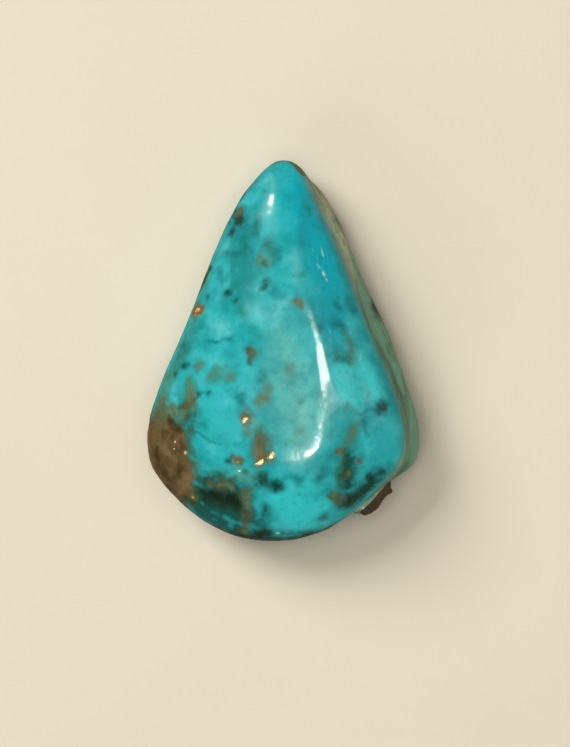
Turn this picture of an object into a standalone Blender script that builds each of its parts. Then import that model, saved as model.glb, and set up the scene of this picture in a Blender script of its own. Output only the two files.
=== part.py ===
"""Polished turquoise nugget: one drop-shaped stone lying on its flat resting face.

+Y runs from the broad end to the tip, +Z is up, and the origin is on the resting
face under the middle of the stone. The script works in metres.
"""

import math

import bpy
import bmesh
from mathutils import Matrix, Vector, noise

MM = 0.001

# Driving dimensions of the stone, in millimetres.
LENGTH = 25.0
WIDTH = 17.9
HEIGHT = 7.5

# The outline seen from above, clockwise from the tip. Each station has its place on the
# outer edge, as shares of half the width and half the length. Then come how far the
# flank leans out below the crown edge, in millimetres, the crown edge's height, as a
# share of the height, and the share of the way from the crown edge to the middle of the
# crown's table at which the table begins.
STATIONS = (
    (0.00, 1.00, 0.20, 0.46, 0.58),       # the tip
    (0.17, 0.94, 0.60, 0.50, 0.54),
    (0.32, 0.80, 1.15, 0.56, 0.48),
    (0.47, 0.59, 1.30, 0.62, 0.47),       # the leaning flank
    (0.60, 0.36, 1.35, 0.66, 0.48),
    (0.75, 0.13, 1.50, 0.68, 0.56),
    (0.87, -0.10, 1.50, 0.68, 0.60),
    (0.97, -0.32, 1.30, 0.66, 0.65),
    (1.00, -0.50, 1.25, 0.62, 0.66),      # the widest place of the leaning side
    (0.90, -0.64, 0.95, 0.58, 0.62),
    (0.68, -0.75, 0.50, 0.56, 0.55),
    (0.48, -0.87, 0.35, 0.54, 0.50),
    (0.25, -0.96, 0.20, 0.52, 0.50),
    (-0.04, -1.00, 0.15, 0.52, 0.50),     # the broad end
    (-0.32, -0.98, 0.15, 0.52, 0.52),
    (-0.58, -0.90, 0.15, 0.50, 0.56),
    (-0.80, -0.76, 0.15, 0.48, 0.60),
    (-0.96, -0.62, 0.15, 0.46, 0.64),
    (-1.00, -0.47, 0.15, 0.46, 0.68),     # the widest place of the rounded side
    (-0.95, -0.29, 0.15, 0.48, 0.68),
    (-0.84, -0.08, 0.15, 0.50, 0.66),
    (-0.70, 0.14, 0.15, 0.50, 0.64),
    (-0.58, 0.37, 0.15, 0.50, 0.62),
    (-0.46, 0.58, 0.15, 0.48, 0.60),
    (-0.32, 0.78, 0.15, 0.46, 0.59),
    (-0.16, 0.93, 0.15, 0.46, 0.58),
)

# A flank that leans out less than PLAIN_LEAN is a rounded one. From FULL_LEAN on it has
# the groove and the bulge.
PLAIN_LEAN = 0.30
FULL_LEAN = 1.10

# The flank's rings from the foot up. On the leaning side each is a share of the lean in
# from the outer edge and a share of the crown edge's height. On the rounded side it is
# millimetres in from the outer edge, and again a share of that height.
FLANK_RINGS = (
    (0.32, 0.09, 1.15, 0.13),    # foot
    (0.00, 0.33, 0.38, 0.38),    # bulge
    (0.58, 0.64, 0.00, 0.68),    # groove
    (0.66, 0.82, 0.10, 0.86),    # upper flank
    (1.00, 1.00, 0.42, 1.04),    # crown edge
)

# The rings of the resting face, as shares of the outline round its middle.
REST_MIDDLE = (0.3, -2.4)
REST_RINGS = (0.60, 0.77)

# The crown's table is a flat dome with its summit near the leaning side, so that a soft
# ridge runs down there. It has fallen by TABLE_FALL at TABLE_REACH from the summit.
# All are in millimetres.
TABLE_MIDDLE = (0.3, -2.8)
SUMMIT = (2.1, -3.0)
TABLE_REACH = (4.5, 6.0)
TABLE_FALL = 0.34

# The crown's rings: the share of the way from the crown edge to the table, then the
# share of the rise on the leaning side and on the rounded side.
CROWN_RINGS = (
    (0.22, 0.24, 0.36),
    (0.62, 0.68, 0.78),
    (1.00, 1.00, 1.00),
)

# The table and the resting face are grids, whose short sides have this many faces.
GRID_SPAN = 6

SUBDIVISION_LEVELS = 2
CAGE_FITTING_ROUNDS = 4

# How strongly polishing has smoothed the crown.
POLISH_SHARE = 0.5
POLISH_ROUNDS = 5

# Long shallow waves of the polished surface, in millimetres.
WAVE_SIZE = 3.4
WAVE_DEPTH = 0.16

# The lump of host rock at the foot, in millimetres: its middle, its half sizes along,
# across and up, its turn in degrees, and the size and depth of its own unevenness.
LUMP_MIDDLE = (5.30, -9.00, 1.50)
LUMP_HALF_SIZES = (1.90, 1.55, 1.20)
LUMP_TURN = 43.0
LUMP_GRAIN = 0.55
LUMP_UNEVENNESS = 0.20
LUMP_DETAIL = 3

COLLECTION_NAME = "Turquoise nugget"
CUTTER_COLLECTION_NAME = "Shapes joined to the nugget"
STONE_NAME = "turquoise_nugget"
LUMP_NAME = "host_rock_lump"
CROWN_GROUP = "crown"
WAVED_GROUP = "waved surface"

TURQUOISE = (0.03, 0.42, 0.42, 1.0)
HOST_ROCK = (0.05, 0.028, 0.012, 1.0)
POLISHED = 0.2
ROUGH = 0.6


def clear_scene():
    """Remove every object that is in the file."""
    for leftover in list(bpy.data.objects):
        bpy.data.objects.remove(leftover, do_unlink=True)


def new_collection(name):
    """Add a collection to the scene."""
    collection = bpy.data.collections.new(name)
    bpy.context.scene.collection.children.link(collection)
    return collection


def mineral(name, colour, roughness):
    """A material of the stone."""
    material = bpy.data.materials.new(name)
    material.use_nodes = True
    shader = material.node_tree.nodes["Principled BSDF"]
    shader.inputs["Base Color"].default_value = colour
    shader.inputs["Roughness"].default_value = roughness
    shader.inputs["Metallic"].default_value = 0.0
    return material


def smooth_share(value, low, high):
    """Run smoothly from 0 at low to 1 at high."""
    share = min(max((value - low) / (high - low), 0.0), 1.0)
    return share * share * (3.0 - 2.0 * share)


def mix(first, second, share):
    """Blend two values."""
    return first + (second - first) * share


def outer_edge():
    """The outline's points, in millimetres."""
    return [Vector((x * WIDTH / 2, y * LENGTH / 2)) for x, y, _, _, _ in STATIONS]


def inward_directions(outline):
    """The horizontal direction into the stone at each point of a clockwise outline."""
    directions = []
    for index in range(len(outline)):
        following = outline[(index + 1) % len(outline)]
        along = following - outline[index - 1]
        directions.append(Vector((along.y, -along.x)).normalized())
    return directions


def rest_ring(share):
    """A ring of the flat resting face."""
    middle = Vector(REST_MIDDLE)
    return [(middle + (point - middle) * share).to_3d() for point in outer_edge()]


def flank_ring(lean_share, lean_height, plain_inset, plain_height):
    """A ring of the flank, which blends the leaning and the rounded side."""
    outline = outer_edge()
    ring = []
    for point, inward, station in zip(outline, inward_directions(outline), STATIONS):
        lean = station[2]
        edge_height = station[3] * HEIGHT
        leaning = smooth_share(lean, PLAIN_LEAN, FULL_LEAN)
        inset = mix(plain_inset, lean_share * lean, leaning)
        height = mix(plain_height, lean_height, leaning) * edge_height
        ring.append((point + inward * inset).to_3d() + Vector((0, 0, height)))
    return ring


def table_height(place):
    """The height of the crown's table above the resting face."""
    away_x = (place.x - SUMMIT[0]) / TABLE_REACH[0]
    away_y = (place.y - SUMMIT[1]) / TABLE_REACH[1]
    return HEIGHT - TABLE_FALL * (away_x ** 2 + away_y ** 2)


def crown_ring(crown_edge, way, lean_rise, plain_rise):
    """A ring of the crown between its edge and the table."""
    ring = []
    for point, station in zip(crown_edge, STATIONS):
        leaning = smooth_share(station[2], PLAIN_LEAN, FULL_LEAN)
        table_edge = point.to_2d().lerp(Vector(TABLE_MIDDLE), station[4])
        place = point.to_2d().lerp(table_edge, way)
        rise = mix(plain_rise, lean_rise, leaning)
        height = mix(point.z, table_height(table_edge), rise)
        ring.append(Vector((place.x, place.y, height)))
    return ring


def all_rings():
    """Every ring of the cage, from the resting face up to the table."""
    rings = [rest_ring(share) for share in REST_RINGS]
    rings += [flank_ring(*ring) for ring in FLANK_RINGS]
    crown_edge = rings[-1]
    rings += [crown_ring(crown_edge, *ring) for ring in CROWN_RINGS]
    return rings


def join_rings(cage, lower, upper):
    """Close the band between two rings with one face at each station."""
    for index in range(len(lower)):
        after = (index + 1) % len(lower)
        cage.faces.new((lower[index], lower[after], upper[after], upper[index]))


def fill_ring(cage, ring):
    """Close a ring with a grid of faces, and return the grid's inner vertices."""
    half_span = GRID_SPAN // 2
    half_round = len(ring) // 2
    sides = []
    for middle in (0, half_round):
        for step in range(-half_span, half_span):
            first = ring[(middle + step) % len(ring)]
            second = ring[(middle + step + 1) % len(ring)]
            sides.append(cage.edges.get((first, second)))
    known = set(cage.verts)
    bmesh.ops.grid_fill(cage, edges=sides, use_interp_simple=True)
    return [vertex for vertex in cage.verts if vertex not in known]


def limit_point(vertex):
    """Where smooth subdivision brings a vertex of four-sided faces to rest.

    This is the Catmull-Clark limit: with n edges at the vertex, it weighs n * n, each
    neighbour weighs 4, and the far corner of each face weighs 1.
    """
    count = len(vertex.link_edges)
    total = vertex.co * count * count
    for edge in vertex.link_edges:
        total += edge.other_vert(vertex).co * 4
    for face in vertex.link_faces:
        corners = list(face.verts)
        total += corners[(corners.index(vertex) + 2) % 4].co
    return total / (count * count + 4 * count + count)


def fit_cage(cage):
    """Push the cage out until its smooth surface passes through the rings."""
    raised = [vertex for vertex in cage.verts if vertex.co.z > 0]
    wanted = [vertex.co.copy() for vertex in raised]
    for _ in range(CAGE_FITTING_ROUNDS):
        missing = [goal - limit_point(vertex) for vertex, goal in zip(raised, wanted)]
        for vertex, step in zip(raised, missing):
            vertex.co += step


def stone_cage():
    """The stone's cage, as a mesh in metres, and the vertices of the crown and waves."""
    cage = bmesh.new()
    rings = [[cage.verts.new(point) for point in ring] for ring in all_rings()]
    for lower, upper in zip(rings, rings[1:]):
        join_rings(cage, lower, upper)
    fill_ring(cage, rings[0])
    table = fill_ring(cage, rings[-1])
    for vertex in table:
        vertex.co.z = table_height(vertex.co)
    bmesh.ops.recalc_face_normals(cage, faces=cage.faces)
    fit_cage(cage)
    cage.verts.index_update()
    crown = [vertex.index for ring in rings[-len(CROWN_RINGS):] for vertex in ring]
    crown += [vertex.index for vertex in table]
    waved = [vertex.index for vertex in cage.verts if vertex.co.z > 0]
    bmesh.ops.scale(cage, vec=(MM, MM, MM), verts=cage.verts)
    mesh = bpy.data.meshes.new("stone cage")
    cage.to_mesh(mesh)
    cage.free()
    return mesh, crown, waved


def add_subdivision(piece):
    """Smooth the cage."""
    subdivision = piece.modifiers.new("Rounded form", "SUBSURF")
    subdivision.levels = SUBDIVISION_LEVELS
    subdivision.render_levels = SUBDIVISION_LEVELS


def add_polish(piece, crown):
    """Smooth the crown and leave its edge crisp."""
    group = piece.vertex_groups.new(name=CROWN_GROUP)
    group.add(crown, 1.0, "REPLACE")
    polish = piece.modifiers.new("Polished crown", "SMOOTH")
    polish.vertex_group = group.name
    polish.factor = POLISH_SHARE
    polish.iterations = POLISH_ROUNDS


def add_waves(piece, waved):
    """Give the surface its shallow waves, all over but on the resting face."""
    group = piece.vertex_groups.new(name=WAVED_GROUP)
    group.add(waved, 1.0, "REPLACE")
    texture = bpy.data.textures.new("Shallow waves", "CLOUDS")
    texture.noise_scale = WAVE_SIZE * MM
    texture.noise_depth = 1
    waves = piece.modifiers.new("Shallow waves", "DISPLACE")
    waves.texture = texture
    waves.vertex_group = group.name
    waves.strength = WAVE_DEPTH * MM


def evaluated_mesh(piece):
    """The mesh of a piece with its modifiers applied."""
    evaluated = piece.evaluated_get(bpy.context.evaluated_depsgraph_get())
    return bpy.data.meshes.new_from_object(evaluated)


def fit_to_size(mesh):
    """Bring the mesh to its driving dimensions, resting on z = 0 round the origin."""
    for vertex in mesh.vertices:
        vertex.co.z = max(vertex.co.z, 0.0)
    for axis, size in enumerate((WIDTH, LENGTH, HEIGHT)):
        places = [vertex.co[axis] for vertex in mesh.vertices]
        low, high = min(places), max(places)
        base = low if axis == 2 else (low + high) / 2
        scale = size * MM / (high - low)
        for vertex in mesh.vertices:
            vertex.co[axis] = (vertex.co[axis] - base) * scale


def make_stone(collection):
    """The nugget as a smooth solid of its real size."""
    mesh, crown, waved = stone_cage()
    cage_object = bpy.data.objects.new("cage", mesh)
    collection.objects.link(cage_object)
    add_subdivision(cage_object)
    add_polish(cage_object, crown)
    add_waves(cage_object, waved)
    stone_mesh = evaluated_mesh(cage_object)
    bpy.data.objects.remove(cage_object, do_unlink=True)
    fit_to_size(stone_mesh)
    stone_mesh.shade_smooth()
    stone_mesh.materials.append(mineral("Polished turquoise", TURQUOISE, POLISHED))
    stone = bpy.data.objects.new(STONE_NAME, stone_mesh)
    collection.objects.link(stone)
    return stone


def make_lump(collection):
    """The uneven lump of host rock, which is joined to the stone."""
    shape = bmesh.new()
    bmesh.ops.create_icosphere(shape, subdivisions=LUMP_DETAIL, radius=1.0)
    for vertex in shape.verts:
        swell = 1.0 + LUMP_UNEVENNESS * noise.noise(vertex.co / LUMP_GRAIN)
        vertex.co *= swell
    placing = (
        Matrix.Translation(Vector(LUMP_MIDDLE) * MM)
        @ Matrix.Rotation(math.radians(LUMP_TURN), 4, "Z")
        @ Matrix.Diagonal((*(size * MM for size in LUMP_HALF_SIZES), 1.0))
    )
    shape.transform(placing)
    mesh = bpy.data.meshes.new(LUMP_NAME)
    shape.to_mesh(mesh)
    shape.free()
    mesh.shade_smooth()
    mesh.materials.append(mineral("Host rock", HOST_ROCK, ROUGH))
    lump = bpy.data.objects.new(LUMP_NAME, mesh)
    lump.hide_render = True
    lump.display_type = "WIRE"
    collection.objects.link(lump)
    return lump


def join_lump(stone, lump):
    """Make the lump one solid with the stone."""
    union = stone.modifiers.new("Host rock lump", "BOOLEAN")
    union.operation = "UNION"
    union.material_mode = "TRANSFER"
    union.object = lump


def main():
    clear_scene()
    collection = new_collection(COLLECTION_NAME)
    cutters = new_collection(CUTTER_COLLECTION_NAME)
    stone = make_stone(collection)
    join_lump(stone, make_lump(cutters))


main()
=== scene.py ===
import math

import bmesh
import bpy
import numpy as np
from mathutils import Matrix, Vector, noise
from mathutils.bvhtree import BVHTree


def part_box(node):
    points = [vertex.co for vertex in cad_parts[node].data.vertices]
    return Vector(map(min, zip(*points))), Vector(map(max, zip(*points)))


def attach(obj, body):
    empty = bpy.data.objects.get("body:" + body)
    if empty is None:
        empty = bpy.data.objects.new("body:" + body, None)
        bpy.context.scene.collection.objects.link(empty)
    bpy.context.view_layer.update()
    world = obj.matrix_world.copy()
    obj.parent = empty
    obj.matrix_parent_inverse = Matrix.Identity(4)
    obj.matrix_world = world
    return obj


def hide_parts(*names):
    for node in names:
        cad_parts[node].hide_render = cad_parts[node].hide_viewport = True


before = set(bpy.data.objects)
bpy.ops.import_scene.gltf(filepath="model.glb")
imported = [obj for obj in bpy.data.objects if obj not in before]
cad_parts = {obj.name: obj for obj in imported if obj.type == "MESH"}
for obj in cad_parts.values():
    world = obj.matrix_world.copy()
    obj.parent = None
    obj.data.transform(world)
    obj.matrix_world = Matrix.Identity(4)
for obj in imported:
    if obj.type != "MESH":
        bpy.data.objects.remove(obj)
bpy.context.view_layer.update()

# A polished, drop-shaped turquoise with patches of its host rock and specks of pyrite,
# lying on a pale surface and seen from straight above. Lengths are in millimetres unless a
# comment says otherwise, and +Y points to the stone's tip.

NODE = "turquoise_nugget"
MM = 0.001
FAR = 1e9  # farther than any distance here
TINY = 1e-9  # and smaller than any that counts

# The surface: how fine its mesh is, and how far the solid's flat facets are worn smooth.
WELD = 1e-7  # in metres
VOXEL = 0.118
POLISH_SHARE = 0.5
POLISH_ROUNDS = 40
LUMP_POLISH = 0.06  # share of that polish which the rough lump gets

# The rough lump at the foot, as in the solid: its middle and how far it reaches.
LUMP_MIDDLE = (5.9, -9.6, 1.5)
LUMP_REACH = 1.75
LUMP_CORE = 0.75  # share of that reach which is all lump
LUMP_PATCH = (1.25, 1.65)  # how far its brown reaches, seen from above

# How far apart the smooth noises of two seeds are looked up, in grains of the noise.
SEED_STEP = (17.3, -9.1, 5.7)

# How far the marks' edges wander, by a broad and a fine noise. Each has a seed for every
# axis, counted up from its first one.
WANDER = 0.10
WANDER_SIZE = 0.8
WANDER_SEED = 5
WANDER_WEIGHT = 2  # how many times the fine noise the broad one counts
WANDER_FINE_SIZE = 0.32
WANDER_FINE_SEED = 8

# How far each kind of mark is felt on either side of its edge.
FEATHERS = {
    "blue": 1.5,
    "dull": 1.3,
    "bright": 0.8,
    "pale": 0.7,
    "haze_and_sheen": 1.5,
    "clear": 0.8,
    "green": 0.65,
    "teal": 0.55,
    "deep": 0.70,
    "gap": 0.40,
    "vein": 0.20,
    "murk": 0.70,
    "moss": 0.55,
    "spot": 0.40,
    "black": 0.75,
    "olive": 0.62,
    "tan": 0.46,
    "rock": 0.50,
    "rust": 0.35,
    "buff": 0.60,
    "umber": 0.35,
    "groove": 0.36,
    "rim_reflection": 0.24,
    "edge": 0.30,
    "chip": 0.24,
    "gold": 0.12,
    "painted_glint": 0.10,
    "painted_highlight": 0.12,
    "scuff": 0.35,
}
# Marks with a shade of dark teal round them, and how far it reaches.
SHADED_KINDS = ("moss", "spot", "black", "olive", "tan")
SHADE_REACH = 0.80
BORDER_REACH = 1.2  # and how far the green border of the host rock reaches

# Relief that goes with each kind of mark, at its full strength.
MARK_RELIEF = {
    "tan": -0.016,
    "olive": -0.010,
    "black": -0.010,
    "spot": -0.008,
    "rock": -0.020,
    "gold": 0.020,
    "chip": -0.050,
}
MARK_RELIEF_EDGE = (0.42, 0.62)  # the strengths where it begins and where it is full

# Relief made of noise: its height, and the noise's size, octaves and seed.
SWELL = 0.030
SWELL_NOISE = (2.6, 2, 1)
RIPPLE = 0.0035
RIPPLE_NOISE = (0.75, 2, 2)
ROCK_GRAIN = 0.022
ROCK_NOISE = (0.55, 4, 3)
ROCK_GRAIN_EDGE = (0.45, 0.65)  # the rock's strengths where it begins and where it is full
LUMP_GRAIN = 0.16
LUMP_NOISE = (0.5, 3, 4)

# Markings on the crown and on the flank that shows beside it. Each is a chain of
# (x, y, radius) seen from straight above, and lies on the surface there.
LOOK_DOWN_FROM = 50.0  # over the whole stone
OUTLINE_HEIGHT = 2.5  # for a place just outside the outline
MARKS = {
    "blue": [
        [(0.9, 11.4, 0.3), (1.1, 9.6, 0.8), (1.7, 8.0, 1.1), (2.4, 6.4, 1.3), (3.0, 4.6, 1.2),
         (3.2, 2.8, 0.9), (3.0, 1.4, 0.5)],
    ],
    "dull": [
        [(-2.1, 8.4, 0.7), (-2.6, 7.0, 1.1), (-2.5, 5.2, 1.4), (-2.9, 3.9, 1.1)],
        [(-5.6, 1.6, 0.4), (-6.3, 0.3, 0.6), (-6.9, -1.2, 0.4)],
        [(3.6, 0.2, 0.5)],
    ],
    "bright": [
        [(-1.2, 11.2, 0.5), (-0.5, 10.9, 0.4)],
        [(-4.8, 2.4, 0.5), (-3.8, 1.6, 0.6)],
        [(-4.9, -2.6, 0.4), (-4.4, -3.4, 0.8), (-3.9, -4.7, 0.9)],
        [(-4.7, -6.1, 0.8), (-3.9, -7.0, 0.7)],
        [(-1.58, -10.4, 0.35)],
        [(-4.63, -10.2, 0.06)],
        [(-3.9, -10.6, 0.06)],
        [(-3.12, -11.5, 0.12)],
        [(6.4, -5.2, 0.9), (6.2, -6.6, 1.0)],
        [(5.2, -8.2, 0.3)],
    ],
    # Painted light: clear, brighter cyan on the lower and right slopes, where the lights fall
    # weaker
    "clear": [
        [(-0.1, -9.8, 1.0), (1.0, -10.6, 1.6), (2.4, -10.4, 1.2)],
        [(0.4, -8.8, 0.5), (1.9, -9.0, 0.6)],
        [(3.6, 0.9, 0.2), (4.4, -0.2, 0.6), (5.2, -1.6, 0.9), (6.0, -2.9, 0.5)],
        [(3.8, -1.6, 0.9), (4.6, -3.0, 0.8)],
        [(5.2, -5.4, 0.3), (5.4, -6.4, 0.3)],
    ],
    "green": [
        [(-5.9, 1.9, 0.2), (-6.6, 0.3, 0.40), (-7.2, -1.3, 0.45), (-7.9, -3.0, 0.45),
         (-8.3, -4.1, 0.4)],
        [(-4.0, 7.0, 0.1), (-4.9, 4.6, 0.2), (-5.6, 3.2, 0.15)],
        [(-6.1, -2.0, 0.3), (-6.2, -3.2, 0.5), (-6.0, -4.2, 0.4)],
        [(-1.5, -5.0, 0.3), (-1.3, -6.6, 0.5)],
        [(-4.6, -8.1, 0.3), (-3.4, -8.2, 0.3), (-1.9, -8.3, 0.3)],
        [(3.6, -8.9, 0.3), (3.9, -7.4, 0.4), (4.4, -5.4, 0.3)],
        [(-4.6, -1.6, 0.3), (-3.4, -1.6, 0.3)],
    ],
    "pale": [
        [(-0.9, 11.3, 0.25), (-1.5, 10.9, 0.2)],
        [(-3.7, 6.7, 0.2)],
        [(0.8, 6.3, 0.3), (0.9, 4.9, 0.4)],
        [(-2.4, 2.6, 0.5), (-1.0, 2.2, 0.7), (0.1, 3.2, 0.4)],
        [(-4.5, 1.6, 0.4), (-3.7, 1.2, 0.3)],
        [(-7.2, -2.2, 0.2), (-7.0, -3.7, 0.2)],
        [(-3.3, -8.1, 0.25), (-2.5, -7.9, 0.35), (-1.6, -8.0, 0.25)],
        [(5.0, -8.2, 0.2)],
        [(4.9, -0.4, 0.2)],
        [(5.0, -1.7, 0.1), (5.6, -3.2, 0.15)],
    ],
    # Hazy polish on the crown: rougher and rippled, and its paler colour partly a painted
    # reflection of the overhead light
    "haze_and_sheen": [
        [(-0.4, 1.2, 0.4), (0.3, -0.6, 1.0), (0.8, -2.8, 1.4), (1.4, -5.0, 1.5), (1.2, -6.8, 0.8)],
    ],
    "deep": [
        [(-5.5, -9.3, 0.4), (-4.6, -9.8, 0.8), (-3.4, -10.3, 1.1), (-2.4, -10.8, 0.8)],
        [(-6.1, -9.8, 0.45), (-5.4, -10.4, 0.70), (-4.6, -11.0, 0.80), (-3.7, -11.5, 0.85),
         (-2.6, -12.0, 0.8), (-1.5, -12.1, 0.5)],
        [(-1.5, -11.4, 0.3), (-1.15, -10.2, 0.15)],
        [(5.9, -8.6, 0.4), (5.2, -9.4, 0.4), (4.4, -10.0, 0.5)],
    ],
    "gap": [
        [(-3.9, -10.9, 0.08), (-3.25, -11.2, 0.18), (-3.45, -11.6, 0.10)],
        [(-1.67, -10.0, 0.24), (-1.6, -10.5, 0.2)],
        [(-4.56, -11.1, 0.06)],
        [(-2.0, -11.3, 0.05)],
        [(5.15, -8.15, 0.30)],
    ],
    "teal": [
        [(-1.7, 8.6, 0.2), (-1.8, 7.7, 0.3)],
        [(-2.5, 7.6, 0.2), (-2.5, 6.7, 0.2)],
        [(-3.8, 6.3, 0.16), (-3.0, 6.3, 0.14), (-2.2, 6.4, 0.2)],
        [(-1.2, 6.9, 0.3), (-0.6, 6.5, 0.3), (-0.5, 5.8, 0.2)],
        [(-4.3, 5.2, 0.22), (-4.0, 4.6, 0.16)],
        [(-5.3, 1.75, 0.2)],
        [(-2.9, 2.7, 0.16), (-2.4, 2.3, 0.12)],
        [(-1.4, -1.6, 0.2)],
        [(-0.7, 3.9, 0.16)],
        [(-6.5, 0.3, 0.25), (-6.9, -0.6, 0.2)],
        [(-2.9, -2.9, 0.2), (-2.7, -3.6, 0.2)],
        [(1.67, 9.15, 0.2)],
        [(3.58, 2.85, 0.3)],
        [(4.5, 2.6, 0.28), (4.2, 3.2, 0.2)],
        [(3.3, 1.8, 0.26), (3.9, 1.4, 0.2)],
        [(3.4, -0.5, 0.26), (4.1, -0.6, 0.24)],
        [(4.1, -3.7, 0.12), (4.9, -4.1, 0.12)],
        [(5.1, -4.6, 0.12), (5.4, -5.4, 0.12)],
        [(2.2, -8.6, 0.25), (2.6, -7.9, 0.2)],
        [(1.0, -8.5, 0.2), (0.2, -8.2, 0.16)],
        [(2.7, -10.8, 0.45)],
        [(-5.3, -4.7, 0.14)],
        [(-0.1, -11.9, 0.3), (1.6, -11.9, 0.3)],
        [(2.3, 1.4, 0.2)],
        [(1.2, -3.3, 0.14)],
    ],
    "vein": [
        [(-5.2, 0.52, 0.08), (-4.3, 0.56, 0.08), (-3.4, 0.6, 0.10), (-3.1, 1.0, 0.06)],
        [(-5.6, -5.3, 0.06), (-4.8, -5.85, 0.09), (-3.8, -6.3, 0.07)],
        [(7.0, -3.6, 0.06), (6.4, -3.75, 0.1), (5.85, -3.85, 0.08), (5.3, -4.0, 0.08),
         (4.6, -4.2, 0.06)],
        [(-6.2, -1.0, 0.05), (-5.7, -0.95, 0.04)],
    ],
    "murk": [
        [(-5.4, -8.4, 0.4), (-4.5, -8.7, 0.75), (-3.4, -9.0, 0.8), (-2.6, -9.5, 0.6)],
        [(-6.1, -5.2, 0.3), (-6.3, -4.7, 0.25)],
        [(7.4, -8.25, 0.15), (8.0, -7.6, 0.12)],
        [(-5.6, -9.7, 0.3), (-4.5, -9.7, 0.6), (-3.4, -9.9, 0.7), (-2.8, -10.3, 0.5)],
        [(-2.9, -12.1, 0.3), (-1.6, -12.2, 0.4)],
        [(-1.2, -11.9, 0.4)],
        [(-6.5, -3.8, 0.4), (-6.1, -4.3, 0.35)],
        [(-2.8, 9.0, 0.3), (-3.0, 8.4, 0.6), (-3.4, 7.7, 0.2)],
        [(-5.7, -8.9, 0.3), (-5.8, -9.6, 0.3)],
        [(6.3, -8.0, 0.3), (5.5, -8.7, 0.45), (4.8, -9.4, 0.5), (3.9, -9.8, 0.6)],
        [(4.2, -7.0, 0.3), (4.1, -8.0, 0.5), (4.2, -8.7, 0.4)],
        [(-1.4, -8.4, 0.4), (-0.5, -8.8, 0.35)],
        [(-1.5, -5.6, 0.3), (-1.4, -6.4, 0.45)],
    ],
    "moss": [
        [(-1.45, 5.95, 0.22), (-1.1, 5.75, 0.24)],
        [(-5.45, -0.95, 0.30)],
        [(-5.0, -1.95, 0.08), (-4.6, -1.55, 0.13), (-4.15, -1.25, 0.14), (-3.9, -1.2, 0.10)],
        [(-3.75, -1.5, 0.12), (-3.4, -1.85, 0.14)],
        [(-1.1, -2.5, 0.30), (-1.2, -3.0, 0.26), (-1.6, -3.3, 0.2)],
        [(4.2, 1.0, 0.12), (4.4, 0.2, 0.2), (4.45, -0.6, 0.14)],
        [(4.7, -4.9, 0.14), (4.4, -5.4, 0.2), (4.2, -5.9, 0.16)],
        [(0.3, -1.2, 0.22)],
        [(1.1, -5.2, 0.2)],
        [(-7.5, -1.9, 0.2), (-7.8, -2.9, 0.25), (-8.1, -3.7, 0.3)],
        [(-2.3, -4.0, 0.2), (-2.3, -5.2, 0.22)],
    ],
    "spot": [
        [(-3.05, 8.3, 0.16)],
        [(-3.4, 7.6, 0.10)],
        [(-3.58, 3.77, 0.24)],
        [(-4.95, 3.44, 0.12)],
        [(-3.05, 3.2, 0.05)],
        [(-1.15, 4.3, 0.22), (-1.35, 4.05, 0.12)],
        [(-1.2, 5.65, 0.10)],
        [(-3.45, 7.55, 0.14)],
        [(-6.6, -0.95, 0.14), (-6.3, -1.0, 0.09)],
        [(-7.05, -1.45, 0.12)],
        [(-1.55, -2.0, 0.09)],
        [(-4.8, -2.8, 0.07)],
        [(-2.3, -4.3, 0.12)],
        [(-2.15, 0.0, 0.20), (-2.1, -0.6, 0.15)],
        [(-3.5, -7.1, 0.20)],
        [(-1.2, -8.2, 0.16)],
        [(-0.5, -8.75, 0.22)],
        [(-2.5, -7.9, 0.1)],
        [(6.35, -3.72, 0.40)],
        [(4.3, -7.05, 0.16)],
        [(4.05, -7.9, 0.16)],
        [(4.2, -8.5, 0.16)],
        [(5.6, -8.1, 0.16)],
        [(5.7, -8.6, 0.16)],
        [(3.1, -9.5, 0.12)],
        [(-0.35, -8.95, 0.12)],
        [(1.3, -12.15, 0.12), (2.3, -12.0, 0.12)],
    ],
    "black": [
        [(-5.4, -9.3, 0.15), (-4.8, -9.4, 0.30), (-4.0, -9.6, 0.35), (-3.3, -9.7, 0.35),
         (-2.9, -10.1, 0.3)],
        [(4.1, -9.85, 0.15)],
        [(-1.5, -12.1, 0.25)],
        [(-5.55, -2.95, 0.14)],
        [(-2.15, -0.05, 0.08)],
        [(-0.5, -8.75, 0.16)],
    ],
    "olive": [
        [(-6.0, -2.4, 0.28), (-6.0, -3.2, 0.40), (-6.4, -3.8, 0.2)],
        [(-7.9, -3.1, 0.2), (-7.7, -3.9, 0.45), (-6.9, -4.1, 0.35), (-6.3, -4.0, 0.2)],
        [(-4.7, -8.7, 0.15), (-4.1, -8.7, 0.25), (-3.4, -8.8, 0.2)],
        [(-8.1, -3.3, 0.2), (-8.35, -4.2, 0.35), (-7.6, -4.5, 0.3)],
        [(-2.45, -9.2, 0.25), (-2.4, -10.2, 0.25), (-2.4, -11.2, 0.22), (-2.5, -11.9, 0.15)],
        [(-1.6, -5.6, 0.2), (-1.5, -6.3, 0.4), (-1.5, -7.1, 0.4), (-0.9, -7.0, 0.3)],
        [(3.3, -9.5, 0.3), (3.7, -9.8, 0.3)],
        [(4.1, -8.1, 0.14)],
        [(1.0, 3.1, 0.2)],
        [(-2.05, -0.1, 0.28), (-2.05, -0.45, 0.10)],
        [(-2.35, -4.4, 0.2)],
    ],
    "tan": [
        [(-2.85, 9.1, 0.20)],
        [(-4.9, 5.2, 0.07), (-5.1, 4.7, 0.08)],
        [(-5.65, 2.6, 0.40), (-5.40, 2.62, 0.36)],
        [(1.05, 3.0, 0.1)],
        [(-2.02, -0.08, 0.06)],
        [(-1.2, -2.95, 0.1)],
        [(-2.5, -4.55, 0.22)],
        [(-3.25, -7.15, 0.16), (-2.85, -7.2, 0.24)],
        [(-1.6, -6.5, 0.2), (-1.35, -7.0, 0.3)],
        [(3.58, -6.66, 0.24)],
        [(4.95, -7.2, 0.18)],
        [(-6.05, -2.9, 0.12)],
        [(-5.95, -9.6, 0.16)],
    ],
    "rock": [
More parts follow.
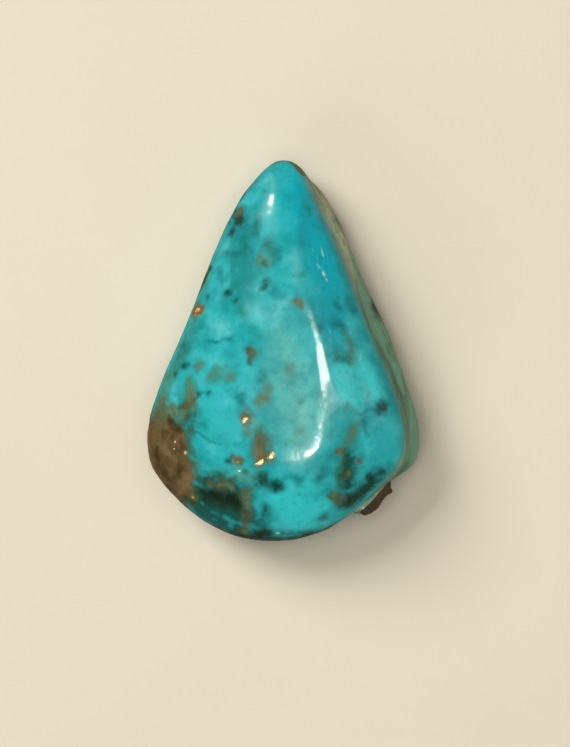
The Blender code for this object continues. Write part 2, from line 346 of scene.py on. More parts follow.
        [(-7.5, -5.1, 0.75), (-7.3, -6.1, 1.25), (-7.2, -7.3, 1.50), (-7.25, -8.4, 1.55),
         (-7.0, -9.3, 0.90)],
        [(-8.4, -5.3, 0.85), (-8.6, -6.0, 1.2), (-8.5, -7.2, 1.4), (-8.0, -8.4, 1.1)],
    ],
    "buff": [
        [(-6.1, -7.8, 0.2), (-6.4, -8.9, 0.4), (-6.9, -9.4, 0.2)],
        [(-7.9, -6.4, 0.3), (-7.3, -7.0, 0.2)],
        [(-6.9, -5.9, 0.15)],
    ],
    "umber": [
        [(-7.9, -7.9, 0.25), (-7.5, -8.5, 0.2)],
        [(-7.3, -4.8, 0.2), (-6.8, -5.3, 0.15)],
        [(-8.3, -6.3, 0.1), (-8.3, -7.1, 0.12)],
        [(-6.9, -7.6, 0.15), (-6.8, -8.2, 0.1)],
        [(-6.5, -9.7, 0.2), (-6.0, -9.9, 0.15)],
    ],
    "rust": [
        [(-8.7, -4.5, 0.15), (-8.9, -5.4, 0.30), (-8.9, -6.7, 0.30), (-8.5, -7.8, 0.15)],
        [(-5.75, 2.60, 0.36), (-5.40, 2.60, 0.34)],
        [(-7.8, -8.9, 0.12)],
        [(-6.9, -9.0, 0.1)],
    ],
    "gold": [
        [(-5.62, 2.64, 0.15), (-5.46, 2.66, 0.14)],
        [(-5.75, 2.35, 0.09)],
        [(-6.30, -6.66, 0.17)],
        [(-5.94, -9.6, 0.14)],
        [(-2.6, -4.6, 0.19), (-2.4, -4.5, 0.16)],
        [(-1.75, -7.28, 0.18), (-1.45, -7.18, 0.20)],
        [(-0.98, -6.90, 0.15), (-0.75, -6.80, 0.17)],
        [(-0.82, -6.46, 0.07)],
        [(-0.36, -7.25, 0.06)],
        [(-1.6, -7.5, 0.08)],
        [(-0.75, -7.15, 0.07)],
        [(-2.9, -7.3, 0.06)],
    ],
    # Painted glints: near-white specks for light caught by pyrite and by grains in the host rock
    "painted_glint": [
        [(-5.52, 2.72, 0.07), (-5.46, 2.74, 0.07)],
        [(-6.30, -6.64, 0.10)],
        [(-2.5, -4.55, 0.14)],
        [(-1.65, -7.22, 0.14), (-1.45, -7.25, 0.10)],
        [(-0.85, -6.85, 0.13)],
        [(-7.05, -5.9, 0.07)],
        [(-7.1, -6.25, 0.07)],
        [(-2.85, -7.77, 0.08)],
    ],
    "groove": [
        [(4.7, 5.0, 0.1), (5.4, 2.0, 0.14), (5.8, 1.0, 0.16), (6.2, 0.4, 0.16), (6.85, -0.8, 0.16),
         (7.05, -1.4, 0.15), (7.4, -2.3, 0.14), (7.7, -2.9, 0.12), (8.2, -5.7, 0.1)],
        [(7.6, -8.0, 0.2)],
    ],
    # Painted reflection: a pale grey-green line along the lower right rim, where the polished
    # bevel reflects the floor
    "rim_reflection": [
        [(7.95, -6.0, 0.08), (7.7, -7.3, 0.16), (7.15, -8.25, 0.20), (6.4, -9.10, 0.20),
         (5.7, -9.85, 0.18), (4.9, -10.45, 0.18), (4.0, -11.1, 0.15), (3.0, -11.8, 0.08)],
    ],
    "chip": [
        [(0.65, 12.3, 0.28), (0.95, 12.0, 0.42), (1.25, 11.6, 0.30)],
    ],
    # Painted shade: near-black green along the lower and left outline, where the stone turns under
    "edge": [
        [(-4.6, -11.5, 0.2), (-3.6, -12.0, 0.35), (-2.2, -12.28, 0.42), (-0.6, -12.38, 0.45),
         (1.0, -12.25, 0.42), (2.6, -11.8, 0.28), (3.4, -11.3, 0.1)],
        [(-4.75, 5.5, 0.14), (-5.0, 5.0, 0.20), (-5.3, 4.3, 0.18), (-5.55, 3.7, 0.12)],
        [(-2.1, 10.9, 0.06), (-2.7, 10.05, 0.10), (-3.25, 9.0, 0.12), (-3.75, 8.0, 0.10)],
        [(-6.7, -9.9, 0.12), (-5.8, -10.8, 0.18)],
    ],
    # Painted highlights: small near-white dots and dashes on the right shoulder and on the lower
    # edge
    "painted_highlight": [
        [(1.85, 6.75, 0.00), (1.92, 6.55, 0.05), (1.98, 6.35, 0.00)],
        [(2.05, 6.15, 0.01), (2.15, 5.85, 0.05), (2.28, 5.55, 0.04), (2.45, 5.25, 0.06)],
        [(2.50, 5.15, 0.06), (2.60, 4.96, 0.14)],
        [(2.75, 4.72, 0.03), (2.88, 4.45, 0.00)],
        [(2.45, 6.80, 0.00), (2.52, 6.50, 0.04), (2.62, 6.20, 0.06), (2.60, 6.00, 0.01)],
        [(3.40, 4.10, 0.02), (3.48, 3.90, 0.02)],
        [(2.98, 1.22, 0.05)],
        [(4.28, 1.75, 0.00), (4.40, 1.15, 0.04)],
        [(4.88, -0.40, 0.02), (4.92, -0.58, 0.02)],
        [(-0.55, -11.93, 0.08), (-0.30, -11.92, 0.10)],
        [(0.25, -11.84, 0.08), (0.50, -11.80, 0.07)],
    ],
    "scuff": [
        [(1.4, 2.9, 0.35), (1.8, 2.0, 0.30), (2.05, 1.2, 0.20), (2.2, 0.6, 0.05)],
        [(2.65, -3.0, 0.2), (2.5, -3.6, 0.35), (2.3, -4.4, 0.3)],
    ],
}

# The crown's edge over the leaning flank, seen from straight above, from the tip down. Past
# it the turquoise gives way to grey-green.
FLANK_EDGE = [
    (0.9, 12.3), (1.34, 11.5), (1.94, 10.2), (2.59, 8.9), (3.25, 7.6), (4.03, 5.6), (4.95, 3.0),
    (5.48, 1.3), (6.53, -0.95), (7.05, -2.3), (7.51, -3.6), (7.77, -5.2), (7.77, -6.5),
    (7.31, -7.6), (6.79, -8.2), (6.13, -9.0), (5.35, -9.9), (4.43, -10.7), (3.38, -11.6),
]
FLANK_SOFTNESS = (-0.30, 0.45)  # how far past it the change begins and ends
FLANK_FADE = (1.5, 7.5)  # from where to where it turns to beige, towards the tip
BULGE_SOFTNESS = (0.00, 0.30)  # how far past the groove the bulge's colour begins and is full
FLANK_TURN = -0.42  # how far the flank runs off +Y, in radians
STREAK_SHARE = 0.3  # how drawn out its stains are
RIM_WIDTH = (0.26, 0.40)  # where the rim, painted pale as a reflection, ends and the lump of rock begins

# Marks on the hidden flank and the underside, first scattered from a fixed seed, as how many
# of each kind, their range of radius and how far each wanders, and then listed, as
# chains of (x, y, z, radius).
SCATTER_SEED = 11
SCATTER_SLOPE = 0.15  # they start where the surface faces up less than this
SCATTER_HEIGHT = 3.0  # and lies lower than this
SCATTER_TOP = 2.6  # and don't wander higher than this
SCATTER_LENGTHS = (1, 4)  # places in a chain, from the first number to below the second
SCATTER = {
    "bright": (16, (0.5, 1.2), 1.2),
    "dull": (8, (0.5, 1.0), 1.5),
    "murk": (14, (0.2, 0.7), 0.9),
    "teal": (40, (0.12, 0.35), 0.7),
    "spot": (40, (0.08, 0.25), 0.5),
    "olive": (24, (0.12, 0.45), 0.8),
    "tan": (16, (0.08, 0.25), 0.5),
    "gold": (14, (0.06, 0.12), 0.1),
}
HIDDEN_MARKS = {
    "rock": [
        [(-8.6, -5.2, 2.2, 1.0), (-8.6, -6.2, 2.0, 1.5), (-8.0, -7.6, 1.6, 1.7),
         (-7.2, -9.0, 1.2, 1.3)],
        [(-6.4, -7.2, 0.0, 1.5), (-5.2, -8.6, 0.0, 1.2)],
    ],
    "deep": [
        [(-4.2, -11.6, 1.8, 0.8), (-2.2, -12.0, 1.6, 0.9), (-0.8, -12.2, 2.2, 0.5)],
        [(-1.6, -11.2, 0.6, 0.6), (-0.2, -11.6, 0.9, 0.4)],
    ],
    "murk": [
        [(-3.6, -11.9, 2.2, 0.4), (-2.6, -12.1, 1.7, 0.5), (-2.2, -11.7, 1.0, 0.3)],
        [(0.9, -12.1, 2.1, 0.3), (1.3, -11.9, 1.5, 0.35)],
        [(2.9, -11.4, 2.2, 0.25)],
    ],
}

# Colours, as red, green and blue from 0 to 255.
TURQUOISE = (30, 160, 171)
BRIGHT_TURQUOISE = (46, 176, 188)
# Painted light: a brighter cyan for the slopes that face away from the key light
PAINTED_LIGHT_TURQUOISE = (52, 204, 216)
STAIN_GREEN = (56, 132, 108)
CHIP_BROWN = (98, 84, 54)
BUFF = (128, 108, 78)
UMBER = (56, 42, 22)
PALE_TURQUOISE = (88, 190, 198)
# Paler, greyer turquoise of the hazy polish, partly a painted reflection of the overhead light
HAZE_AND_SHEEN_TURQUOISE = (86, 176, 172)
DULL_TURQUOISE = (16, 124, 128)
DEEP_BLUE = (0, 172, 196)
MOTTLE_TEAL = (14, 136, 140)
SHADE_TEAL = (18, 116, 112)
DARK_TEAL = (10, 104, 104)
SPOT_TEAL = (8, 70, 68)
MURK_GREEN = (22, 58, 42)
BLACK_GREEN = (14, 36, 26)
MOSS = (84, 122, 98)
OLIVE = (84, 88, 54)
TAN = (106, 94, 62)
BROWN = (84, 64, 38)
HOST_ROCK = (92, 80, 48)
DARK_ROCK = (72, 58, 34)
PALE_ROCK = (116, 98, 68)
RUST = (138, 84, 30)
PYRITE = (252, 228, 168)
# Painted glint: near-white for the sparkle of light on pyrite
PAINTED_GLINT_WHITE = (255, 246, 224)
OLD_GOLD = (186, 148, 84)
# Painted highlight: near-white for dots of light on the polish
PAINTED_HIGHLIGHT_WHITE = (204, 236, 236)
DEEP_TEAL = (8, 70, 64)
BORDER_GREEN = (58, 88, 62)
FLANK_BEIGE = (174, 180, 148)
FLANK_GREEN = (98, 148, 126)
FLANK_DULL = (104, 138, 108)
BULGE_GREEN = (112, 160, 138)
GROOVE_BROWN = (74, 96, 70)
# Painted shade: the near-black green where the stone turns under
EDGE_SHADE_GREEN = (20, 46, 34)
# Painted reflection: the pale grey-green of the lower right rim
RIM_REFLECTION_PALE = (146, 170, 148)
LUMP_BROWN = (64, 46, 24)
FLOOR_PALE = (236, 231, 217)
LIGHT_WARM = (255, 249, 238)
SKY_WARM = (255, 236, 204)

# The cloudy noises in the stone: the size of the clouds, their detail and roughness, and
# how far they are warped.
CLOUDS = {
    "broad": (2.6, 2.0, 0.5, 0.0),
    "patch": (1.1, 2.5, 0.45, 0.2),
    "fray": (0.6, 2.5, 0.5, 0.0),
    "small": (0.45, 3.0, 0.5, 0.0),
    "fine": (0.22, 3.0, 0.6, 0.0),
    "grain": (0.16, 4.0, 0.6, 0.0),
    "ripple": (0.30, 2.0, 0.5, 0.0),
}
STREAK_CLOUDS = (0.5, 3.0, 0.6, 0.3)
FRAY = 1.5  # how strongly the marks' edges are frayed

# Which part of a cloud shows: the value where it begins, the value where it ends, and how
# much shows at the first and at the second, where that isn't from 0 to 1.
BRIGHT_CELLS = (0.36, 0.62)
PALE_CELLS = (0.28, 0.46, 0.35, 0.0)
MOTTLE = (0.42, 0.74, 0.0, 0.6)
FINE_MOTTLE = (0.50, 0.75, 0.0, 0.35)
EARTH_PATCHES = (0.42, 0.62)
EARTH_GRAINS = (0.52, 0.72, 0.0, 0.6)
FLANK_PATCHES = (0.40, 0.65)
FLANK_STAINS = (0.45, 0.72, 0.0, 0.6)
PYRITE_GRAINS = (0.38, 0.58)
# Kinds of mark with less mottle in them, and how the mottle drops with their strength.
EVEN_KINDS = ("bright", "blue", "clear")
EVEN_MOTTLE = (0.2, 0.9, 1.0, 0.35)

# Layers of marks: the kind, its strength where it begins to show and where it is full, how
# much of it shows there, and its colour. The bright and dull ones go on the turquoise, and
# among the bright ones are painted light and a partly painted reflection. The matrix goes over
# that, and the last ones go over the host rock too, among them a painted reflection and shade.
BRIGHT_LAYERS = [
    ("bright", 0.15, 0.95, 0.9, BRIGHT_TURQUOISE),
    # The clear layer is painted light on the lower and right slopes
    ("clear", 0.10, 0.90, 1.0, PAINTED_LIGHT_TURQUOISE),
    # The haze layer is partly a painted reflection of the overhead light
    ("haze_and_sheen", 0.15, 0.95, 0.8, HAZE_AND_SHEEN_TURQUOISE),
    ("pale", 0.15, 0.95, 0.85, PALE_TURQUOISE),
]
DULL_LAYERS = [
    ("dull", 0.15, 0.95, 0.85, DULL_TURQUOISE),
    ("blue", 0.10, 0.80, 1.0, DEEP_BLUE),
]
MATRIX_LAYERS = [
    ("green", 0.12, 0.90, 0.75, STAIN_GREEN),
    ("shade", 0.15, 0.90, 0.75, SHADE_TEAL),
    ("teal", 0.10, 0.90, 0.85, DARK_TEAL),
    ("vein", 0.15, 0.85, 0.8, DARK_TEAL),
    ("deep", 0.10, 0.80, 0.9, DEEP_TEAL),
    ("gap", 0.20, 0.90, 0.75, BRIGHT_TURQUOISE),
    ("murk", 0.08, 0.85, 0.95, MURK_GREEN),
    ("moss", 0.10, 0.90, 0.75, MOSS),
    ("spot", 0.12, 0.78, 0.95, SPOT_TEAL),
    ("border", 0.12, 0.48, 0.85, BORDER_GREEN),
]
EDGE_LAYERS = [
    ("buff", 0.10, 0.90, 0.55, BUFF),
    ("umber", 0.10, 0.80, 0.75, UMBER),
    ("rust", 0.30, 0.80, 0.8, RUST),
    ("groove", 0.15, 0.80, 0.7, GROOVE_BROWN),
    # The rim layer is a painted reflection
    ("rim_reflection", 0.25, 0.75, 0.8, RIM_REFLECTION_PALE),
    # The edge layer is painted shade where the stone turns under
    ("edge", 0.15, 0.70, 0.9, EDGE_SHADE_GREEN),
    ("chip", 0.30, 0.75, 0.9, CHIP_BROWN),
]
# Marks that are laid on one by one, or that change the finish: their strengths and share as
# in the layers, and whether their edge is frayed.
FINISHED_MARKS = {
    "haze_and_sheen": (0.1, 0.9, 1.0, False),
    "painted_highlight": (0.15, 0.95, 0.9, False),
    "black": (0.26, 0.80, 1.0, True),
    "tan": (0.12, 0.80, 1.0, True),
    "olive": (0.15, 0.72, 1.0, True),
    "rock": (0.30, 0.80, 1.0, True),
    "lump": (0.30, 0.70, 1.0, True),
    "chip": (0.3, 0.75, 1.0, False),
    "scuff": (0.1, 0.9, 1.0, False),
    "painted_glint": (0.35, 0.7, 1.0, False),
    "gold": (0.40, 0.65, 1.0, True),
}
OLIVE_COVER = 0.85
PYRITE_METAL = 0.5

# The polish on the stone, its roughness, and how much rougher each kind of mark is.
POLISH = {
    "IOR": 1.5,
    "Specular IOR Level": 0.25,
    "Coat Weight": 0.28,
    "Coat Roughness": 0.3,
}
POLISHED_ROUGHNESS = 0.08
GRAIN_ROUGHNESS = 0.04
ROUGHER = {
    "haze_and_sheen": 0.05,
    "scuff": 0.08,
    "black": 0.10,
    "olive": 0.15,
    "tan": 0.20,
    "flank": 0.20,
    "rock": 0.26,
    "chip": 0.35,
    "lump": 0.60,
}

# Heights, in millimetres, of the ripples in the polish and of the grain on each kind of mark.
POLISH_RIPPLE = 0.005
HAZE_RIPPLE = 0.008  # more of it where the polish is hazy
SCUFF_HEIGHT = 0.050  # and fine scratches where it is scuffed
GRAIN_HEIGHTS = {"olive": 0.006, "tan": 0.014, "rock": 0.012, "lump": 0.07, "gold": 0.05}

# The camera, straight above the stone: its place over the floor, and how much it takes in.
CAMERA_HEIGHT = 300.0
CAMERA_XY = (0.1, -1.5)
VIEW_LONG_SIDE = 49.0
FOCUS_HEIGHT = 3.0
SENSOR = 36.0
CLIP_START = 5.0
CLIP_END = 5000.0

# The floor: how far it reaches each way, the clouds in it and what they do to its colour.
FLOOR_REACH = 2000.0
FLOOR_CLOUDS = (30.0, 2.0, 0.5, 0.0)
FLOOR_SHADE = (0.3, 0.7, 0.98, 1.0)
FLOOR_ROUGHNESS = 0.6

# Lights: name, compass bearing from +X towards +Y and height over the horizon in degrees,
# roll in degrees, width and height in millimetres, brightness, and what it does: "light"
# lights the scene, "fill" lights the stone alone, and "shine" only shows in the polish. All
# stand LIGHT_DISTANCE from the stone.
LIGHT_DISTANCE = 600.0
LIGHTS = [
    ("key", 140, 38, 0, (280.0, 280.0), 12.1, "light"),
    ("left fill", 185, 60, 0, (300.0, 300.0), 1.2, "light"),
    ("top fill", 85, 55, 0, (260.0, 260.0), 0.4, "light"),
    ("ceiling", 150, 80, 0, (420.0, 420.0), 0.9, "light"),
    ("low left fill", -125, 26, 0, (300.0, 300.0), 2.2, "light"),
    ("low right fill", -52, 42, 0, (300.0, 300.0), 4.2, "fill"),
    ("right fill", 12, 24, 0, (300.0, 300.0), 2.2, "fill"),
    ("streak", 15, 54.5, 0, (100.0, 350.0), 34.0, "shine"),
    ("streak glow", 15, 54.5, 0, (210.0, 380.0), 2.2, "shine"),
    ("thin streak", 33, 56.2, 0, (120.0, 170.0), 7.0, "shine"),
    ("tip", 132, 20, -42, (100.0, 36.0), 48.0, "shine"),
    ("tip glow", 132, 20, -42, (220.0, 80.0), 3.0, "shine"),
    ("blob", -64.0, 74.0, -26, (122.0, 64.0), 60.0, "shine"),
    ("blob glow", -61.5, 74.3, -30, (200.0, 120.0), 4.0, "shine"),
]

# The sky's brightness, and how far up its edge reaches and its glow starts, from 0 at the
# horizon to 1 straight overhead.
SKY_MIDDLE = 0.05
SKY_EDGE = 0.14
SKY_EDGE_REACH = 0.55
SKY_GLOW = 0.7
SKY_GLOW_START = 0.90


def paint(colour):
    """An sRGB colour as the linear red, green, blue and alpha that a socket takes."""
    linear = []
    for part in colour:
        share = part / 255
        linear.append(share / 12.92 if share <= 0.04045 else ((share + 0.055) / 1.055) ** 2.4)
    return (*linear, 1.0)


def solid_copy():
    """A copy of the CAD node, welded, in millimetres."""
    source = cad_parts[NODE]
    bm = bmesh.new()
    bm.from_mesh(source.data)
    bmesh.ops.remove_doubles(bm, verts=bm.verts, dist=WELD)
    bmesh.ops.scale(bm, vec=(1 / MM, 1 / MM, 1 / MM), verts=bm.verts)
    mesh = bpy.data.meshes.new("solid")
    bm.to_mesh(mesh)
    bm.free()
    piece = bpy.data.objects.new("solid", mesh)
    bpy.context.scene.collection.objects.link(piece)
    return piece


def fine_mesh(piece):
    """The solid's surface as even quads of about VOXEL."""
    remesh = piece.modifiers.new("even", "REMESH")
    remesh.mode = "VOXEL"
    remesh.voxel_size = VOXEL
    depsgraph = bpy.context.evaluated_depsgraph_get()
    mesh = bpy.data.meshes.new_from_object(piece.evaluated_get(depsgraph))
    bpy.data.objects.remove(piece)
    return mesh


def points_of(mesh):
    points = np.empty(len(mesh.vertices) * 3, np.float32)
    mesh.vertices.foreach_get("co", points)
    return points.reshape(-1, 3).astype(float)


def put_points(mesh, points):
    mesh.vertices.foreach_set("co", points.astype(np.float32).ravel())
    mesh.update()


def normals_of(mesh):
    normals = np.empty(len(mesh.vertices) * 3, np.float32)
    mesh.vertex_normals.foreach_get("vector", normals)
    return normals.reshape(-1, 3).astype(float)


def edges_of(mesh):
    edges = np.empty(len(mesh.edges) * 2, np.int32)
    mesh.edges.foreach_get("vertices", edges)
    return edges.reshape(-1, 2)


def smooth_step(value, low, high):
    share = np.clip((value - low) / (high - low), 0, 1)
    return share * share * (3 - 2 * share)


def relax(points, edges, shares, rounds):
    """Each point moves towards the middle of its neighbours by its own share, some times."""
    first, second = edges[:, 0], edges[:, 1]
    count = len(points)
    neighbours = np.bincount(first, minlength=count) + np.bincount(second, minlength=count)
    for _ in range(rounds):
        middle = np.empty_like(points)
        for axis in range(3):
            along = points[:, axis]
            total = np.bincount(first, along[second], count)
            total += np.bincount(second, along[first], count)
            middle[:, axis] = total / neighbours
        points = points + (middle - points) * shares[:, None]
    return points


def lump_share(points):
    """1 on the rough lump at the foot, 0 away from it."""
    away = np.linalg.norm(points - np.array(LUMP_MIDDLE), axis=1)
    return 1 - smooth_step(away, LUMP_REACH * LUMP_CORE, LUMP_REACH)


def noise_at(points, size, octaves, seed):
    """Smooth noise of about that grain size, from about -1 to 1, at each point."""
    shift = Vector([seed * step for step in SEED_STEP])
    return np.array([noise.fractal(Vector(p) / size + shift, 1.0, 2.0, octaves) for p in points])


def wandered(points):
    """The points, each shifted a little, so that a mark looked up there has an uneven edge."""
    shifts = []
    for axis in range(3):
        broad = noise_at(points, WANDER_SIZE, 1, WANDER_SEED + axis)
        fine = noise_at(points, WANDER_FINE_SIZE, 1, WANDER_FINE_SEED + axis)
        shifts.append(WANDER_WEIGHT * broad + fine)
    return points + np.stack(shifts, axis=1) * WANDER


def past_line(points, line):
    """How far each point lies past a line, seen from above: positive to the line's left."""
    nearest = np.full(len(points), FAR)
    signed = np.zeros(len(points))
    for start, end in zip(line, line[1:]):
        start, along = np.array(start), np.array(end) - np.array(start)
        offset = points[:, :2] - start
        share = np.clip(offset @ along / (along @ along), 0, 1)
        away = np.linalg.norm(offset - share[:, None] * along, axis=1)
        side = np.sign(along[0] * offset[:, 1] - along[1] * offset[:, 0])
        closer = away < nearest
        nearest[closer] = away[closer]
        signed[closer] = (away * side)[closer]
    return signed


def on_surface(tree, x, y):
    """The point of the stone that is seen from above at x, y, or else the nearest one."""
    hit = tree.ray_cast(Vector((x, y, LOOK_DOWN_FROM)), Vector((0, 0, -1)))[0]
    if hit is None:
        hit = tree.find_nearest(Vector((x, y, OUTLINE_HEIGHT)))[0]
    return hit


def mark_strength(points, chain, feather):
    """How far inside a chain of (point, radius) each point lies: 0.5 at its edge."""
    best = np.full(len(points), -FAR)
    chain = chain if len(chain) > 1 else chain * 2
    for (start, first), (end, second) in zip(chain, chain[1:]):
        start, end = np.array(start), np.array(end)
        along = end - start
        length_squared = max(float(along @ along), TINY)
        share = np.clip((points - start) @ along / length_squared, 0, 1)
        away = np.linalg.norm(points - start - share[:, None] * along, axis=1)
        best = np.maximum(best, first + (second - first) * share - away)
    return np.clip(0.5 + best / (2 * feather), 0, 1)


def placed_marks(tree):
    """Every mark that is listed, as (kind, chain of (point, radius))."""
    marks = []
    for kind, chains in MARKS.items():
        for chain in chains:
            marks.append((kind, [(on_surface(tree, x, y), radius) for x, y, radius in chain]))
    for kind, chains in HIDDEN_MARKS.items():
        for chain in chains:
            marks.append((kind, [((x, y, z), radius) for x, y, z, radius in chain]))
    return marks


def scattered_marks(tree, points, normals):
    """Marks on the surface that isn't seen from above, as (kind, chain of (point, radius))."""
    draw = np.random.default_rng(SCATTER_SEED)
    steep = normals[:, 2] < SCATTER_SLOPE
    hidden = np.flatnonzero(steep & (points[:, 2] < SCATTER_HEIGHT))
    marks = []
    for kind, (count, (least, most), wander) in SCATTER.items():
        for start in draw.choice(hidden, count):
            point = Vector(points[start])
            chain = []
            for _ in range(draw.integers(*SCATTER_LENGTHS)):
                chain.append((point.copy(), draw.uniform(least, most)))
                step = Vector(draw.normal(0, wander, 3))
                point = tree.find_nearest(point + step)[0]
                point.z = min(point.z, SCATTER_TOP)
            marks.append((kind, chain))
    return marks


def mark_fields(marks, points):
    """For each kind of mark, its strength at every point, and the shades round dark ones."""
    looked_up = wandered(points)
    fields = {kind: np.zeros(len(points)) for kind in (*MARKS, "shade", "border")}
    for kind, chain in marks:
        strength = mark_strength(looked_up, chain, FEATHERS[kind])
        fields[kind] = np.maximum(fields[kind], strength)
        if kind in SHADED_KINDS:
            strength = mark_strength(looked_up, chain, SHADE_REACH)
            fields["shade"] = np.maximum(fields["shade"], strength)
        if kind == "rock":
            strength = mark_strength(looked_up, chain, BORDER_REACH)
            fields["border"] = np.maximum(fields["border"], strength)
    return fields


def side_fields(points):
    """The leaning flank, the bulge under its groove, and the rough lump at its foot."""
    past_edge = past_line(points, FLANK_EDGE)
    groove = [place[:2] for place in MARKS["groove"][0]]
    from_lump = np.linalg.norm(points[:, :2] - np.array(LUMP_MIDDLE[:2]), axis=1)
    lump = smooth_step(past_edge, *RIM_WIDTH) * (1 - smooth_step(from_lump, *LUMP_PATCH))
    flank = smooth_step(past_edge, *FLANK_SOFTNESS)
    return {
        "flank": flank,
        "flank_top": smooth_step(points[:, 1], *FLANK_FADE),
        "bulge": flank * smooth_step(past_line(points, groove), *BULGE_SOFTNESS),
        "lump": lump,
    }


def shape_relief(points, fields):
    """How far each point stands out of the smooth stone."""
    relief = SWELL * noise_at(points, *SWELL_NOISE)
    relief += RIPPLE * noise_at(points, *RIPPLE_NOISE)
    for kind, height in MARK_RELIEF.items():
        relief += height * smooth_step(fields[kind], *MARK_RELIEF_EDGE)
    rock = smooth_step(fields["rock"], *ROCK_GRAIN_EDGE)
    relief += ROCK_GRAIN * rock * noise_at(points, *ROCK_NOISE)
    relief += LUMP_GRAIN * lump_share(points) * noise_at(points, *LUMP_NOISE)
    return relief


def fit_to_box(points, low, high):
    """The points, stretched to fill that box."""
    least, most = points.min(axis=0), points.max(axis=0)
    return low + (points - least) * (high - low) / (most - least)


def add_field(mesh, name, values):
    attribute = mesh.attributes.new(name, "FLOAT", "POINT")
    attribute.data.foreach_set("value", values.astype(np.float32))


def make_stone(low, high):
    """The stone's visible surface, with its relief, and its marks as fields on its points."""
    mesh = fine_mesh(solid_copy())
    points = points_of(mesh)
    edges = edges_of(mesh)
    shares = POLISH_SHARE * (1 - (1 - LUMP_POLISH) * lump_share(points))
    points = fit_to_box(relax(points, edges, shares, POLISH_ROUNDS), low, high)
    put_points(mesh, points)
    normals = normals_of(mesh)
    tree = BVHTree.FromPolygons(points.tolist(), [p.vertices[:] for p in mesh.polygons])
    marks = placed_marks(tree) + scattered_marks(tree, points, normals)
    fields = mark_fields(marks, points)
    points = points + normals * shape_relief(points, fields)[:, None]
    points = fit_to_box(points, low, high)
    fields.update(side_fields(points))
    for name, values in fields.items():
        add_field(mesh, name, values)
    put_points(mesh, points * MM)
    mesh.shade_smooth()
    mesh.name = "stone"
    stone = bpy.data.objects.new("stone", mesh)
    bpy.context.scene.collection.objects.link(stone)
    return stone


# Node helpers. Each adds one node to a material's tree and returns its output.


def give(tree, socket, value):
    """A socket gets another node's output, or a number or colour of its own."""
    if isinstance(value, bpy.types.NodeSocket):
        tree.links.new(value, socket)
    else:
        socket.default_value = value


def coordinates(tree):
    """Places on the stone, in millimetres."""
    source = tree.nodes.new("ShaderNodeTexCoord")
    scale = tree.nodes.new("ShaderNodeVectorMath")
    scale.operation = "SCALE"
    tree.links.new(source.outputs["Object"], scale.inputs[0])
    scale.inputs["Scale"].default_value = 1 / MM
    return scale.outputs[0]


def along_flank(tree, place):
    """Places drawn out along the flank, so that noise there runs in streaks."""
    node = tree.nodes.new("ShaderNodeMapping")
    tree.links.new(place, node.inputs["Vector"])
    node.inputs["Rotation"].default_value = (0.0, 0.0, FLANK_TURN)
    node.inputs["Scale"].default_value = (1.0, STREAK_SHARE, 1.0)
    return node.outputs[0]


def noise_node(tree, place, size, detail, roughness, warp):
    """Cloudy noise of that grain size, from 0 to 1."""
    node = tree.nodes.new("ShaderNodeTexNoise")
    tree.links.new(place, node.inputs["Vector"])
    node.inputs["Scale"].default_value = 1 / size
    node.inputs["Detail"].default_value = detail
    node.inputs["Roughness"].default_value = roughness
    node.inputs["Distortion"].default_value = warp
    return node.outputs["Fac"]


def maths(tree, operation, first, second=0.0, third=0.0):
    node = tree.nodes.new("ShaderNodeMath")
    node.operation = operation
    for socket, value in zip(node.inputs, (first, second, third)):
        give(tree, socket, value)
    return node.outputs[0]


def band(tree, value, low, high, start=0.0, end=1.0):
    """Goes smoothly from start to end as value goes from low to high."""
    node = tree.nodes.new("ShaderNodeMapRange")
    node.interpolation_type = "SMOOTHSTEP"
    give(tree, node.inputs["Value"], value)
    node.inputs["From Min"].default_value = low
    node.inputs["From Max"].default_value = high
    node.inputs["To Min"].default_value = start
    node.inputs["To Max"].default_value = end
    return node.outputs["Result"]


def blend(tree, share, first, second):
    """first where share is 0, second where it is 1."""
    node = tree.nodes.new("ShaderNodeMix")
    node.data_type = "RGBA"
    # A mix node's share is its input 0. Its colours are inputs 6 and 7 and output 2.
    give(tree, node.inputs[0], share)
    give(tree, node.inputs[6], first)
    give(tree, node.inputs[7], second)
    return node.outputs[2]


def field(tree, name):
    node = tree.nodes.new("ShaderNodeAttribute")
    node.attribute_name = name
    return node.outputs["Fac"]


def strongest(tree, names):
    """The strength of whichever of these kinds of mark is strongest."""
    most = 0.0
    for name in names:
        most = maths(tree, "MAXIMUM", field(tree, name), most)
    return most


def mark_share(tree, name, fray, low, high, most):
    """Where a kind of mark shows. Its edge is frayed, more so the wider it is."""
    return band(tree, maths(tree, "MULTIPLY", field(tree, name), fray), low, high, 0.0, most)


def layered(tree, colour, fray, layers):
    """A colour with layers of marks over it, each as (kind, low, high, most, its colour)."""
    for kind, low, high, most, top in layers:
        colour = blend(tree, mark_share(tree, kind, fray, low, high, most), colour, paint(top))
    return colour


def turquoise_colour(tree, clouds):
    """The turquoise itself: soft cells of brighter, paler, duller and bluer stone, with painted
    light on the lower and right slopes and a partly painted reflection on the crown.
    """
    cells = band(tree, clouds["broad"], *BRIGHT_CELLS)
    colour = blend(tree, cells, paint(TURQUOISE), paint(BRIGHT_TURQUOISE))
    colour = layered(tree, colour, clouds["fray"], BRIGHT_LAYERS)
    cells = band(tree, clouds["patch"], *PALE_CELLS)
    colour = blend(tree, cells, colour, paint(PALE_TURQUOISE))
    colour = layered(tree, colour, clouds["fray"], DULL_LAYERS)
    mottle = band(tree, clouds["patch"], *MOTTLE)
    even = band(tree, strongest(tree, EVEN_KINDS), *EVEN_MOTTLE)
    mottle = maths(tree, "MULTIPLY", mottle, even)
    colour = blend(tree, mottle, colour, paint(MOTTLE_TEAL))
    mottle = band(tree, clouds["small"], *FINE_MOTTLE)
    return blend(tree, mottle, colour, paint(MOTTLE_TEAL))


